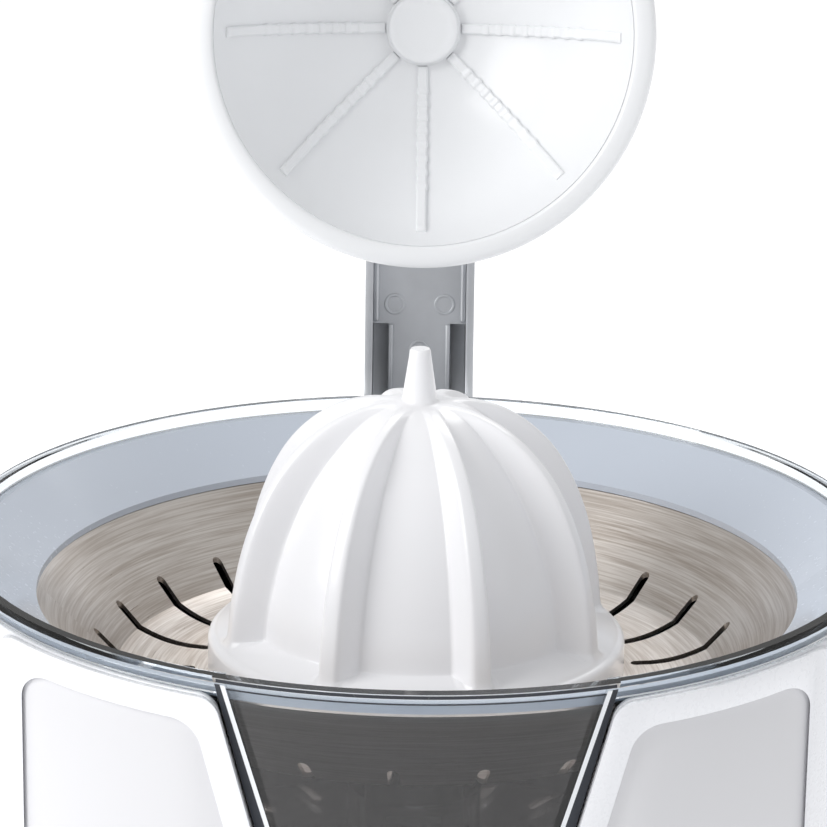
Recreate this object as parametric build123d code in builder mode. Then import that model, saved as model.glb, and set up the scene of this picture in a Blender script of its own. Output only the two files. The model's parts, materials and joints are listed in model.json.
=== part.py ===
"""Lever-arm citrus press juicer, as an assembly of separate pieces.

Frame: millimetres, +Z up, -Y to the front, +X to the right seen from the front.
The origin is where the cone's spin axis meets the table top. The lever arm stands raised.
"""

import os
from math import cos, radians, sin, sqrt

from build123d import *

os.makedirs("parts", exist_ok=True)

# ---------------------------------------------------------------- driving dimensions
rim_z = 250.0  # top of the juice bowl's rim
rim_radius = 95.0
lip_height = 3.0
bowl_outer_radius = 91.8
bowl_inner_radius = 89.6
bowl_under_z = 190.4
bowl_floor_z = 194.4
ledge_z = rim_z - 5.0  # ledge inside the rim that carries the strainer
ledge_radius = 92.0
column_tube_radius = 14.0  # tube in the middle of the bowl, round the spindle's collar
tube_bore_radius = 11.6
tube_top_z = 215.0

window_half_top = 37.3  # half width of the clear window at the rim
window_lean = 0.28  # how far each side leans in for each mm down
window_radius = 95.0
sump_bottom_z = 178.0
sump_back_y = -83.0
pane = 2.4  # thickness of the window's clear wall

head_radius = 95.8
head_top_z = rim_z - 3.5
head_bottom_z = 160.0
head_floor = 3.0
notch_gap = 0.5
notch_corner = 4.0  # rounding of the notch's two top corners
band_width = 5.0  # raised band that frames each cheek
slot_half = 14.0  # half width of the slot that the spout drops through

deck_z = 190.0  # top of the deck that the bowl stands on
deck_thickness = 3.0

column_half_width = 44.0
column_front_y, column_back_y = 22.0, 118.0
shell = 3.0

base_half_width = 92.0
base_front_y, base_back_y = -165.0, 118.0
base_shoulder_y = -110.0
base_low_z, base_top_z = 6.0, 28.0
# four feet at the corners and one under the spin axis, which takes the push of the arm
foot_spots = [(0.0, 0.0), (-70.0, -100.0), (70.0, -100.0), (-70.0, 92.0), (70.0, 92.0)]
foot_stem_radius = 4.0
base_screw_spots = [(-70.0, -60.0), (70.0, -60.0), (-70.0, 52.0), (70.0, 52.0)]
tray_y, tray_radius = -112.0, 40.0

cone_ring_radius = 43.0
cone_ring_z = rim_z - 22.5  # top outer edge of the cone's ring
cone_shelf_rise = 2.8  # from that edge in to the foot of the ridges
cone_bottom_z = rim_z - 31.0
cone_profile = [  # height above the ring, crest radius, valley radius
    (-1.0, 40.4, 34.0),
    (7.4, 39.8, 33.4),
    (15.7, 38.4, 31.8),
    (26.8, 35.2, 28.2),
    (33.9, 31.8, 24.3),
    (40.5, 27.0, 19.2),
    (45.6, 20.6, 13.6),
    (48.4, 13.2, 10.2),
]
ridge_count = 8
first_ridge = -26.0 - 90.0  # degrees about the spin axis
cone_cavity_radius = 25.0
pin_tip_z = rim_z + 38.0

strainer_edge_radius, strainer_edge_z = 78.0, rim_z - 12.0
strainer_foot_radius, strainer_foot_z = 62.0, rim_z - 30.0
strainer_floor_z = rim_z - 32.6
steel = 0.8
drain_slot_count = 24
drain_slot_width = 2.3
drain_slot_start, drain_slot_end = 46.0, 67.2
first_drain_slot = -3.6 - 90.0

pivot_y, pivot_z = 110.0, 216.0
raised_angle = 98.0
arm_half_width = 14.0
arm_wall = 2.0
beam_low, beam_high = 86.0, 104.0  # underside and top of the lowered arm, from the hinge
neck_half = 9.0
arm_reach = 185.0
cup_offset = 110.0  # from the hinge to the cup's axis
cup_rim_up = 40.0
cup_rim_radius = 56.5
cup_inner_radius = 51.0
cup_depth = 42.0
cup_wall = 2.8
cup_lip = 5.0
cup_hub_radius = 8.9
hinge_pin_radius = 4.0
running_gap = 0.05

spindle_radius = 4.0
module = 1.0
pinion_teeth, wheel_teeth, idler_teeth, output_teeth = 14, 58, 16, 56
idler_y = module * (idler_teeth + output_teeth) / 2
motor_y = idler_y + module * (pinion_teeth + wheel_teeth) / 2


def save(piece, name):
    """Label a finished piece and write it as its own STEP file."""
    piece.part.label = name
    export_step(piece.part, f"parts/{name}.step")


def window_half(z):
    """Half width of the clear window's outside at height z."""
    return window_half_top - window_lean * (rim_z - z)


def window_outline(grow, low, high):
    """The window's tapering outline in X and Z, grown sideways by grow."""
    with BuildSketch(Plane.XZ) as outline:
        with BuildLine():
            Polyline(
                (-window_half(high) - grow, high),
                (window_half(high) + grow, high),
                (window_half(low) + grow, low),
                (-window_half(low) - grow, low),
                close=True,
            )
        make_face()
    return outline.sketch


def notch_outline():
    """The housing's notch for the window: the window's outline with rounded top corners."""
    low = 170.0
    with BuildSketch(Plane.XZ) as outline:
        with BuildLine():
            Polyline(
                (-window_half(low) - notch_gap, low),
                (-window_half(head_top_z) - notch_gap, head_top_z),
                (-2 * head_radius, head_top_z),
                (-2 * head_radius, rim_z),
                (2 * head_radius, rim_z),
                (2 * head_radius, head_top_z),
                (window_half(head_top_z) + notch_gap, head_top_z),
                (window_half(low) + notch_gap, low),
                close=True,
            )
        make_face()
        for side in (-1, 1):
            corner = (side * (window_half(head_top_z) + notch_gap), head_top_z)
            fillet(outline.vertices().sort_by_distance(corner)[0], notch_corner)
    return outline.sketch


def base_outline(inset):
    """The base's outline: straight sides, a bowed front and rounded corners, drawn in by inset."""
    with BuildSketch() as outline:
        with BuildLine():
            nose = ThreePointArc(
                (-base_half_width, base_shoulder_y),
                (0.0, base_front_y),
                (base_half_width, base_shoulder_y),
            )
            Polyline(
                nose @ 1,
                (base_half_width, base_back_y),
                (-base_half_width, base_back_y),
                nose @ 0,
            )
        make_face()
        fillet(outline.vertices().group_by(Axis.Y)[-1], radius=38.0)
        fillet(outline.vertices().sort_by(Axis.Y)[:2], radius=22.0)
        if inset > 0:
            offset(amount=-inset, mode=Mode.REPLACE)
    return outline.sketch


def column_outline(inset):
    """The column's rounded outline, drawn in by inset."""
    with BuildSketch() as outline:
        with Locations((0.0, (column_front_y + column_back_y) / 2)):
            RectangleRounded(
                2 * (column_half_width - inset),
                column_back_y - column_front_y - 2 * inset,
                20.0 - inset,
            )
    return outline.sketch


def gear_outline(teeth, first_tooth):
    """A spur gear's outline with straight-flanked teeth; first_tooth is one tooth's angle."""
    radius = module * teeth / 2
    pitch = 360.0 / teeth
    corners = []
    for tooth in range(teeth):
        middle = first_tooth + tooth * pitch
        for turn, reach in ((-0.33, -1.2), (-0.10, 0.85), (0.10, 0.85), (0.33, -1.2)):
            angle = radians(middle + turn * pitch)
            corners.append(
                (
                    (radius + reach * module) * cos(angle),
                    (radius + reach * module) * sin(angle),
                )
            )
    with BuildSketch() as outline:
        with BuildLine():
            Polyline(*corners, close=True)
        make_face()
    return outline.sketch


def cone_side(reach, spread, scale, low_z):
    """A cone's side view from its axis out to its valleys (reach 0) or its crests (reach 1)."""
    points = [
        (scale * (valley + reach * (crest - valley)) - spread, low_z + scale * height)
        for height, crest, valley in cone_profile
    ]
    return [(0.0, points[0][1]), *points, (0.0, points[-1][1])]


def ridged_cone(scale, low_z):
    """A solid cone with its ridges: round between them, and each ridge a wedge."""
    with BuildPart() as body:
        with BuildSketch(Plane.XZ):
            with BuildLine():
                Polyline(*cone_side(0.0, 0.0, scale, low_z), close=True)
            make_face()
        revolve(axis=Axis.Z)
    with BuildPart() as ridge:
        side_view = Plane.XZ.rotated((0.0, 0.0, first_ridge))
        for out, reach, spread in ((-4.2, 0.0, 0.4), (-1.8, 1.0, 0.0), (1.8, 1.0, 0.0), (4.2, 0.0, 0.4)):
            with BuildSketch(side_view.offset(scale * out)):
                with BuildLine():
                    Polyline(*cone_side(reach, scale * spread, scale, low_z), close=True)
                make_face()
        loft(ruled=True)
    ridges = [
        ridge.part.rotate(Axis.Z, turn * 360.0 / ridge_count) for turn in range(ridge_count)
    ]
    return body.part.fuse(*ridges)


# ---------------------------------------------------------------- base
with BuildPart() as base_plate:
    with BuildSketch(Plane.XY.offset(3.0)):
        add(base_outline(3.2))
    extrude(amount=base_low_z - 3.0)
    with Locations(Plane.XY.offset(base_low_z)):
        with Locations(*foot_spots):
            Hole(foot_stem_radius)
        with Locations(*base_screw_spots):
            Hole(2.2)
save(base_plate, "base_plate")

with BuildPart() as rubber_feet:
    with BuildSketch(Plane.XY):
        with Locations(*foot_spots):
            Circle(11.0)
    extrude(amount=3.0)
    fillet(rubber_feet.edges().group_by(Axis.Z)[0], radius=1.0)
    with BuildSketch(Plane.XY.offset(3.0)):
        with Locations(*foot_spots):
            Circle(foot_stem_radius)
    extrude(amount=5.0)
save(rubber_feet, "rubber_feet")

with BuildPart() as base_screws:
    with BuildSketch(Plane.XY.offset(1.2)):
        with Locations(*base_screw_spots):
            Circle(3.8)
    extrude(amount=1.8)
    with BuildSketch(Plane.XY.offset(3.0)):
        with Locations(*base_screw_spots):
            Circle(1.9)
    extrude(amount=12.0)
save(base_screws, "base_screws")

tray_well_z = 12.0
with BuildPart() as base_cover:
    with BuildSketch(Plane.XY.offset(3.0)):
        add(base_outline(0.0))
    extrude(amount=base_top_z - 3.0)
    fillet(base_cover.edges().group_by(Axis.Z)[-1], radius=7.0)
    with BuildSketch(Plane.XY.offset(3.0)):
        add(base_outline(3.0))
    extrude(amount=base_low_z - 3.0, mode=Mode.SUBTRACT)
    with BuildSketch(Plane.XY.offset(base_low_z)):
        add(base_outline(7.0))
    extrude(amount=base_top_z - base_low_z - shell, mode=Mode.SUBTRACT)
    with BuildSketch(Plane.XY.offset(tray_well_z)):
        with Locations((0.0, tray_y)):
            Circle(tray_radius + 0.5)
    extrude(amount=base_top_z, mode=Mode.SUBTRACT)
    with BuildSketch(Plane.XY.offset(base_low_z)):
        with Locations(*base_screw_spots):
            Circle(5.0)
    extrude(amount=base_top_z - base_low_z - shell)
    with Locations(Plane.XY.offset(base_low_z)):
        with Locations(*base_screw_spots):
            Hole(1.9, depth=12.0)
    with BuildSketch(Plane.XY.offset(base_low_z)):
        with Locations((0.0, 70.0)):
            RectangleRounded(60.0, 60.0, 8.0)
    extrude(amount=base_top_z, mode=Mode.SUBTRACT)
save(base_cover, "base_cover")

# the round well under the cover that the drip tray stands in
with BuildPart() as tray_well:
    with BuildSketch(Plane.XY.offset(tray_well_z - 2.5)):
        with Locations((0.0, tray_y)):
            Circle(tray_radius + 3.0)
    extrude(amount=base_top_z - shell - tray_well_z + 2.5)
    with BuildSketch(Plane.XY.offset(tray_well_z)):
        with Locations((0.0, tray_y)):
            Circle(tray_radius + 0.5)
    extrude(amount=base_top_z, mode=Mode.SUBTRACT)
save(tray_well, "tray_well")

with BuildPart() as ballast_plate:
    with BuildSketch(Plane.XY.offset(base_low_z)):
        RectangleRounded(104.0, 60.0, 6.0)
        Circle(foot_stem_radius + 1.0, mode=Mode.SUBTRACT)
    extrude(amount=7.0)
save(ballast_plate, "ballast_plate")

with BuildPart() as drip_tray:
    with BuildSketch(Plane.XY.offset(tray_well_z + 0.3)):
        with Locations((0.0, tray_y)):
            Circle(tray_radius)
    extrude(amount=base_top_z - tray_well_z + 0.5)
    with BuildSketch(Plane.XY.offset(tray_well_z + 2.3)):
        with Locations((0.0, tray_y)):
            Circle(tray_radius - 4.0)
    extrude(amount=base_top_z, mode=Mode.SUBTRACT)
    with BuildSketch(Plane.XY.offset(base_top_z - 2.2)):
        with Locations((0.0, tray_y)):
            Circle(tray_radius - 1.6)
    extrude(amount=base_top_z, mode=Mode.SUBTRACT)
save(drip_tray, "drip_tray")

with BuildPart() as drip_grid:
    with BuildSketch(Plane.XY.offset(base_top_z - 1.9)):
        with Locations((0.0, tray_y)):
            Circle(tray_radius - 2.0)
    extrude(amount=2.2)
    with BuildSketch(Plane.XY.offset(base_top_z - 1.9)):
        for step in range(-4, 5):
            half_chord = sqrt((tray_radius - 7.0) ** 2 - (7.0 * step) ** 2)
            with Locations((7.0 * step, tray_y)):
                SlotOverall(2 * half_chord, 3.4, rotation=90)
    extrude(amount=4.0, mode=Mode.SUBTRACT)
save(drip_grid, "drip_grid")

# ---------------------------------------------------------------- column and hinge tower
tower_half, tower_top_z = 25.0, 198.0
motor_radius = 28.0
hatch_half, hatch_low_z, hatch_high_z = 28.0, 42.0, 148.0
with BuildPart() as column_shell:
    with BuildSketch(Plane.XY.offset(base_top_z)):
        add(column_outline(0.0))
    extrude(amount=head_bottom_z - base_top_z)
    with BuildSketch(Plane.XY.offset(base_top_z)):
        add(column_outline(shell))
    extrude(amount=head_bottom_z - base_top_z - shell, mode=Mode.SUBTRACT)
    with BuildSketch(Plane.XY.offset(head_bottom_z - 2 * shell)):
        with Locations((0.0, motor_y)):
            Circle(motor_radius + 0.2)
    extrude(amount=2 * shell, mode=Mode.SUBTRACT)
    with BuildSketch(Plane.XZ.offset(-column_back_y + 20.0)):
        with Locations((0.0, (hatch_low_z + hatch_high_z) / 2)):
            RectangleRounded(2 * hatch_half, hatch_high_z - hatch_low_z, 6.0)
    extrude(amount=-40.0, mode=Mode.SUBTRACT)
save(column_shell, "column_shell")

tower_front_y = 70.0
with BuildPart() as hinge_tower:
    with BuildSketch(Plane.XY.offset(head_bottom_z)):
        with Locations((0.0, (tower_front_y + column_back_y) / 2)):
            RectangleRounded(2 * tower_half, column_back_y - tower_front_y, 8.0)
        Circle(head_radius + 0.1, mode=Mode.SUBTRACT)
    extrude(amount=tower_top_z - head_bottom_z)
save(hinge_tower, "hinge_tower")

with BuildPart() as column_hatch:
    with BuildSketch(Plane.XZ.offset(-column_back_y)):
        with Locations((0.0, (hatch_low_z + hatch_high_z) / 2)):
            RectangleRounded(2 * hatch_half, hatch_high_z - hatch_low_z, 6.0)
    extrude(amount=shell)
    with BuildSketch(Plane.XZ.offset(-column_back_y - 0.1)):
        with GridLocations(0.0, 7.0, 1, 6):
            SlotOverall(30.0, 3.0)
    extrude(amount=10.0, mode=Mode.SUBTRACT)
save(column_hatch, "column_hatch")

with BuildPart() as hatch_screws:
    for side in (-1, 1):
        for height in (hatch_low_z + 8.0, hatch_high_z - 8.0):
            with Locations(Plane.XZ.offset(-column_back_y - 0.2)):
                with Locations((side * 20.0, height)):
                    Cylinder(3.2, 1.0, align=(Align.CENTER, Align.CENTER, Align.MAX))
save(hatch_screws, "hatch_screws")

with BuildPart() as cord_gland:
    with BuildSketch(Plane.XZ.offset(-column_back_y)):
        with Locations((0.0, 34.5)):
            Circle(5.0)
    extrude(amount=-6.0)
    with BuildSketch(Plane.XZ.offset(-column_back_y)):
        with Locations((0.0, 34.5)):
            Circle(3.2)
    extrude(amount=-6.0, mode=Mode.SUBTRACT)
save(cord_gland, "cord_gland")

# ---------------------------------------------------------------- head
liner_radius, liner_top_z = 93.3, 238.0
with BuildPart() as head_shell:
    with BuildSketch(Plane.XZ):
        with BuildLine():
            Polyline((0.0, head_bottom_z), (82.0, head_bottom_z))
            JernArc((82.0, head_bottom_z), (1.0, 0.0), 13.8, 90.0)
            Polyline(
                (head_radius, head_bottom_z + 13.8),
                (head_radius, head_top_z - 1.0),
                (head_radius - 0.6, head_top_z),
                (94.0, head_top_z),
                (94.0, liner_top_z),
                (liner_radius, liner_top_z),
                (liner_radius, head_bottom_z + 15.0),
                (84.3, head_bottom_z + head_floor),
                (0.0, head_bottom_z + head_floor),
                (0.0, head_bottom_z),
            )
        make_face()
    revolve(axis=Axis.Z)
    extrude(notch_outline(), amount=120.0, mode=Mode.SUBTRACT)
    with BuildSketch(Plane.XY.offset(head_bottom_z - 1.0)):
        with Locations((0.0, -90.0)):
            Rectangle(2 * slot_half, 20.0)
    extrude(amount=20.0, mode=Mode.SUBTRACT)
    with Locations((0.0, motor_y, head_bottom_z + head_floor)):
        Hole(6.0, depth=10.0)
save(head_shell, "head_shell")

with BuildPart() as liner:
    with BuildSketch(Plane.XY.offset(deck_z)):
        Circle(liner_radius)
        Circle(liner_radius - 1.0, mode=Mode.SUBTRACT)
    extrude(amount=liner_top_z - deck_z)
    extrude(notch_outline(), amount=120.0, mode=Mode.SUBTRACT)
save(liner, "head_liner")

# raised bands round the two cheeks, and the panels set inside them
band_rise = 1.1
cheek_outer_x, cheek_low_z = 80.0, 174.0
for side, side_name in ((-1, "left"), (1, "right")):
    with BuildSketch(Plane.XZ) as cheek:
        with BuildLine():
            Polyline(
                (side * (window_half(cheek_low_z) + notch_gap), cheek_low_z),
                (side * (window_half(head_top_z) + notch_gap), head_top_z),
                (side * cheek_outer_x, head_top_z),
                (side * cheek_outer_x, cheek_low_z),
                close=True,
            )
        make_face()
    with BuildSketch(Plane.XZ) as recess:
        add(cheek.sketch)
        offset(amount=-band_width, mode=Mode.REPLACE)
        fillet(recess.vertices(), radius=6.0)
    with BuildSketch(Plane.XZ) as frame:
        add(cheek.sketch)
        fillet(frame.vertices(), radius=notch_corner)
    with BuildPart() as band:
        with BuildSketch(Plane.XY.offset(cheek_low_z)):
            Circle(head_radius + band_rise)
            Circle(head_radius, mode=Mode.SUBTRACT)
        extrude(amount=head_top_z - cheek_low_z)
        extrude(frame.sketch, amount=120.0, mode=Mode.INTERSECT)
        extrude(recess.sketch, amount=120.0, mode=Mode.SUBTRACT)
    save(band, f"cheek_band_{side_name}")
    with BuildPart() as panel:
        with BuildSketch(Plane.XY.offset(cheek_low_z)):
            Circle(head_radius + 0.3)
            Circle(head_radius, mode=Mode.SUBTRACT)
        extrude(amount=head_top_z - cheek_low_z)
        extrude(recess.sketch, amount=120.0, mode=Mode.INTERSECT)
    save(panel, f"cheek_panel_{side_name}")

collar_radius, collar_top_z = 10.5, 211.0
with BuildPart() as deck:
    with BuildSketch(Plane.XY.offset(deck_z - deck_thickness)):
        Circle(liner_radius - 0.2)
        with Locations((0.0, -90.0)):
            Rectangle(60.0, 20.0, mode=Mode.SUBTRACT)
    extrude(amount=deck_thickness)
    with BuildSketch(Plane.XY.offset(deck_z)):
        Circle(collar_radius)
    extrude(amount=collar_top_z - deck_z)
    with BuildSketch(Plane.XY.offset(deck_z - deck_thickness)):
        Circle(6.0)
    extrude(amount=60.0, mode=Mode.SUBTRACT)
    with BuildSketch(Plane.XY.offset(collar_top_z - 2.0)):
        Circle(8.0)
    extrude(amount=10.0, mode=Mode.SUBTRACT)
save(deck, "deck")

# ---------------------------------------------------------------- gearbox and motor
box_low_z = head_bottom_z + head_floor
box_high_z = deck_z - deck_thickness
box_front_y, box_back_y, box_half, box_reach = -33.0, 90.0, 33.0, 82.0
low_gears_z, high_gears_z = 168.0, 177.5
gear_width = 7.0
with BuildPart() as gearbox_case:
    with BuildSketch(Plane.XY.offset(box_low_z)):
        with Locations((0.0, (box_front_y + box_back_y) / 2)):
            RectangleRounded(2 * box_half, box_back_y - box_front_y, 14.0)
        Circle(box_reach, mode=Mode.INTERSECT)
        with Locations((0.0, motor_y)):
            Circle(6.0, mode=Mode.SUBTRACT)
    extrude(amount=box_high_z - box_low_z)
    with BuildSketch(Plane.XY.offset(box_low_z + 2.0)):
        with Locations((0.0, (box_front_y + box_back_y) / 2)):
            RectangleRounded(2 * box_half - 4.0, box_back_y - box_front_y - 4.0, 12.0)
        Circle(box_reach - 2.0, mode=Mode.INTERSECT)
    extrude(amount=box_high_z - box_low_z, mode=Mode.SUBTRACT)
save(gearbox_case, "gearbox_case")

with BuildPart() as spindle:
    with BuildSketch(Plane.XY.offset(box_low_z + 2.3)):
        Circle(spindle_radius)
    extrude(amount=216.0 - box_low_z - 2.3)
    with BuildSketch(Plane.XY.offset(216.0)):
        Rectangle(5.4, 5.4)
    extrude(amount=18.0)
save(spindle, "spindle")

with BuildPart() as spindle_bush:
    with BuildSketch(Plane.XY.offset(deck_z - deck_thickness)):
        Circle(6.0)
        Circle(spindle_radius + running_gap, mode=Mode.SUBTRACT)
    extrude(amount=collar_top_z - 2.0 - deck_z + deck_thickness)
save(spindle_bush, "spindle_bush")

with BuildPart() as shaft_seal:
    with BuildSketch(Plane.XY.offset(collar_top_z - 2.0)):
        Circle(8.0)
        Circle(spindle_radius + 0.08, mode=Mode.SUBTRACT)
    extrude(amount=2.4)
save(shaft_seal, "shaft_seal")

with BuildPart() as output_gear:
    with BuildSketch(Plane.XY.offset(low_gears_z)):
        add(gear_outline(output_teeth, 90.0))
        Circle(spindle_radius, mode=Mode.SUBTRACT)
        with PolarLocations(16.5, 6):
            Circle(5.0, mode=Mode.SUBTRACT)
    extrude(amount=gear_width)
save(output_gear, "output_gear")

with BuildPart() as idler_gear:
    with BuildSketch(Plane.XY.offset(low_gears_z - 0.8)):
        with Locations((0.0, idler_y)):
            add(gear_outline(idler_teeth, 270.0 + 180.0 / idler_teeth))
    extrude(amount=high_gears_z - low_gears_z + 0.8)
    with BuildSketch(Plane.XY.offset(high_gears_z)):
        with Locations((0.0, idler_y)):
            add(gear_outline(wheel_teeth, 90.0))
    extrude(amount=gear_width - 0.8)
    with Locations((0.0, idler_y, high_gears_z + gear_width)):
        Hole(2.5 + running_gap)
save(idler_gear, "idler_gear")

with BuildPart() as idler_axle:
    with BuildSketch(Plane.XY.offset(box_low_z + 2.0)):
        with Locations((0.0, idler_y)):
            Circle(2.5)
    extrude(amount=box_high_z - box_low_z - 2.0)
save(idler_axle, "idler_axle")

motor_low_z, motor_high_z = 88.0, head_bottom_z
with BuildPart() as motor_case:
    with BuildSketch(Plane.XY.offset(motor_low_z)):
        with Locations((0.0, motor_y)):
            Circle(motor_radius)
    extrude(amount=motor_high_z - motor_low_z)
    with BuildSketch(Plane.XY.offset(motor_low_z + 2.0)):
        with Locations((0.0, motor_y)):
            Circle(motor_radius - 2.0)
    extrude(amount=motor_high_z - motor_low_z - 4.0, mode=Mode.SUBTRACT)
    with Locations((0.0, motor_y, motor_high_z)):
        Hole(6.0)
save(motor_case, "motor_case")

with BuildPart() as motor_bushes:
    for height in (motor_low_z, motor_high_z - 6.0):
        with BuildSketch(Plane.XY.offset(height)):
            with Locations((0.0, motor_y)):
                Circle(6.0)
                Circle(3.0 + running_gap, mode=Mode.SUBTRACT)
        extrude(amount=6.0)
save(motor_bushes, "motor_bushes")

with BuildPart() as stator_core:
    with BuildSketch(Plane.XY.offset(102.0)):
        with Locations((0.0, motor_y)):
            Circle(motor_radius - 2.0)
            Circle(16.6, mode=Mode.SUBTRACT)
    extrude(amount=40.0)
save(stator_core, "stator_core")

with BuildPart() as motor_rotor:
    with BuildSketch(Plane.XY.offset(104.0)):
        with Locations((0.0, motor_y)):
            Circle(16.0)
    extrude(amount=36.0)
    with BuildSketch(Plane.XY.offset(motor_low_z - 3.0)):
        with Locations((0.0, motor_y)):
            Circle(3.0)
    extrude(amount=high_gears_z + 7.5 - motor_low_z + 3.0)
save(motor_rotor, "motor_rotor")

with BuildPart() as motor_pinion:
    with BuildSketch(Plane.XY.offset(high_gears_z - 0.6)):
        with Locations((0.0, motor_y)):
            add(gear_outline(pinion_teeth, 270.0 + 180.0 / pinion_teeth))
            Circle(3.0, mode=Mode.SUBTRACT)
    extrude(amount=gear_width + 0.4)
save(motor_pinion, "motor_pinion")

# ---------------------------------------------------------------- juice bowl and spout
window_block = window_outline(0.0, sump_bottom_z, rim_z)
window_hollow = window_outline(-pane, sump_bottom_z + pane, rim_z + 1.0)
outlet_half, outlet_front_y, outlet_back_y = 7.5, -91.8, -85.6
spout_pin_y, spout_pin_z = -95.0, 171.5
spout_half = 9.0
with BuildPart() as window_body:
    with BuildSketch(Plane.XY.offset(sump_bottom_z)):
        Circle(window_radius)
        with Locations((0.0, -window_radius)):
            Rectangle(200.0, 2 * (window_radius + sump_back_y), mode=Mode.INTERSECT)
    extrude(amount=rim_z - sump_bottom_z)
    extrude(window_block, amount=120.0, mode=Mode.INTERSECT)

with BuildPart() as window_space:
    for low, back_y in ((sump_bottom_z, sump_back_y - pane), (bowl_floor_z, -70.0)):
        with BuildSketch(Plane.XY.offset(low)):
            Circle(window_radius - pane)
            with Locations((0.0, -window_radius)):
                Rectangle(200.0, 2 * (window_radius + back_y), mode=Mode.INTERSECT)
        extrude(amount=rim_z + 1.0 - low)
    extrude(window_hollow, amount=120.0, mode=Mode.INTERSECT)

with BuildPart() as juice_bowl:
    with BuildSketch(Plane.XZ):
        with BuildLine():
            Polyline(
                (tube_bore_radius, bowl_under_z),
                (bowl_outer_radius - 4.0, bowl_under_z),
                (bowl_outer_radius, bowl_under_z + 4.0),
                (bowl_outer_radius, 239.0),
                (93.6, 242.0),
                (93.6, rim_z - lip_height),
                (rim_radius, rim_z - lip_height),
                (rim_radius, rim_z - 0.8),
                (rim_radius - 0.8, rim_z),
                (ledge_radius + 0.3, rim_z),
                (ledge_radius, rim_z - 0.3),
                (ledge_radius, ledge_z),
                (bowl_inner_radius, ledge_z),
                (bowl_inner_radius, bowl_floor_z + 3.0),
                (bowl_inner_radius - 3.0, bowl_floor_z),
                (column_tube_radius, bowl_floor_z),
                (column_tube_radius, tube_top_z),
                (tube_bore_radius, tube_top_z),
                close=True,
            )
        make_face()
    revolve(axis=Axis.Z)
    add(window_body.part)
    add(window_space.part, mode=Mode.SUBTRACT)
    for low, radius in ((bowl_floor_z, bowl_inner_radius), (ledge_z, ledge_radius)):
        with BuildSketch(Plane.XY.offset(low)):
            Circle(radius)
            Circle(80.0, mode=Mode.SUBTRACT)
            with Locations((0.0, -window_radius)):
                Rectangle(100.0, 40.0, mode=Mode.INTERSECT)
        extrude(amount=rim_z + 1.0 - low, mode=Mode.SUBTRACT)
    with BuildSketch(Plane.XY.offset(sump_bottom_z - 1.0)):
        with Locations((0.0, (outlet_front_y + outlet_back_y) / 2)):
            Rectangle(2 * outlet_half, outlet_back_y - outlet_front_y)
    extrude(amount=10.0, mode=Mode.SUBTRACT)
    with BuildSketch(Plane.XY.offset(bowl_floor_z - 1.6)):
        with Locations((0.0, -51.0)):
            Rectangle(11.2, 64.0)
        with Locations((-13.0, -57.0), (13.0, -57.0)):
            Rectangle(5.0, 50.0)
    extrude(amount=10.0, mode=Mode.SUBTRACT)
    with BuildSketch(Plane.YZ.offset(spout_half + 0.5)):
        with Locations((spout_pin_y, spout_pin_z)):
            Circle(4.0)
        with Locations((spout_pin_y, (spout_pin_z + sump_bottom_z + 1.0) / 2)):
            Rectangle(8.0, sump_bottom_z + 1.0 - spout_pin_z)
    extrude(amount=2.6)
    with BuildSketch(Plane.YZ.offset(-spout_half - 0.5)):
        with Locations((spout_pin_y, spout_pin_z)):
            Circle(4.0)
        with Locations((spout_pin_y, (spout_pin_z + sump_bottom_z + 1.0) / 2)):
            Rectangle(8.0, sump_bottom_z + 1.0 - spout_pin_z)
    extrude(amount=-2.6)
    with BuildSketch(Plane.YZ.offset(-spout_half - 10.0)):
        with Locations((spout_pin_y, spout_pin_z)):
            Circle(1.5)
    extrude(amount=2 * spout_half + 20.0, mode=Mode.SUBTRACT)
save(juice_bowl, "juice_bowl")

with BuildPart() as spout:
    with BuildSketch(Plane.YZ):
        with BuildLine():
            Polyline(
                (-83.6, 176.6),
                (-97.0, 176.6),
                (-119.0, 169.0),
                (-120.0, 161.0),
                (-97.0, 167.0),
                (-83.6, 170.0),
                close=True,
            )
        make_face()
    extrude(amount=spout_half, both=True)
    with BuildSketch(Plane.YZ):
        with BuildLine():
            Polyline(
                (-85.6, 180.0),
                (-122.0, 180.0),
                (-122.0, 162.3),
                (-97.5, 169.0),
                (-85.6, 171.8),
                close=True,
            )
        make_face()
    extrude(amount=spout_half - 2.0, both=True, mode=Mode.SUBTRACT)
    with BuildSketch(Plane.YZ):
        with Locations((spout_pin_y, spout_pin_z)):
            Circle(3.6)
    extrude(amount=spout_half, both=True)
    with BuildSketch(Plane.YZ):
        with Locations((spout_pin_y, spout_pin_z + 5.0)):
            Rectangle(40.0, 10.0)
    extrude(amount=spout_half - 2.0, both=True, mode=Mode.SUBTRACT)
    with BuildSketch(Plane.YZ):
        with Locations((spout_pin_y, spout_pin_z)):
            Circle(1.5 + running_gap)
    extrude(amount=spout_half + 1.0, both=True, mode=Mode.SUBTRACT)
save(spout, "drip_stop_spout")

with BuildPart() as spout_pins:
    for side in (-1, 1):
        with BuildSketch(Plane.YZ.offset(side * (spout_half - 1.8))):
            with Locations((spout_pin_y, spout_pin_z)):
                Circle(1.5)
        extrude(amount=side * 5.0)
save(spout_pins, "spout_pins")

# ---------------------------------------------------------------- strainer
with BuildPart() as strainer_collar:
    with BuildSketch(Plane.XZ):
        with BuildLine():
            Polyline(
                (ledge_radius - 0.4, ledge_z + 0.3),
                (ledge_radius - 0.4, ledge_z + 2.4),
                (ledge_radius - 2.0, ledge_z + 2.4),
                (strainer_edge_radius, strainer_edge_z),
                (strainer_edge_radius, strainer_edge_z - 1.4),
                (ledge_radius - 2.8, ledge_z + 0.3),
                close=True,
            )
        make_face()
    revolve(axis=Axis.Z)
save(strainer_collar, "strainer_collar")

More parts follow.
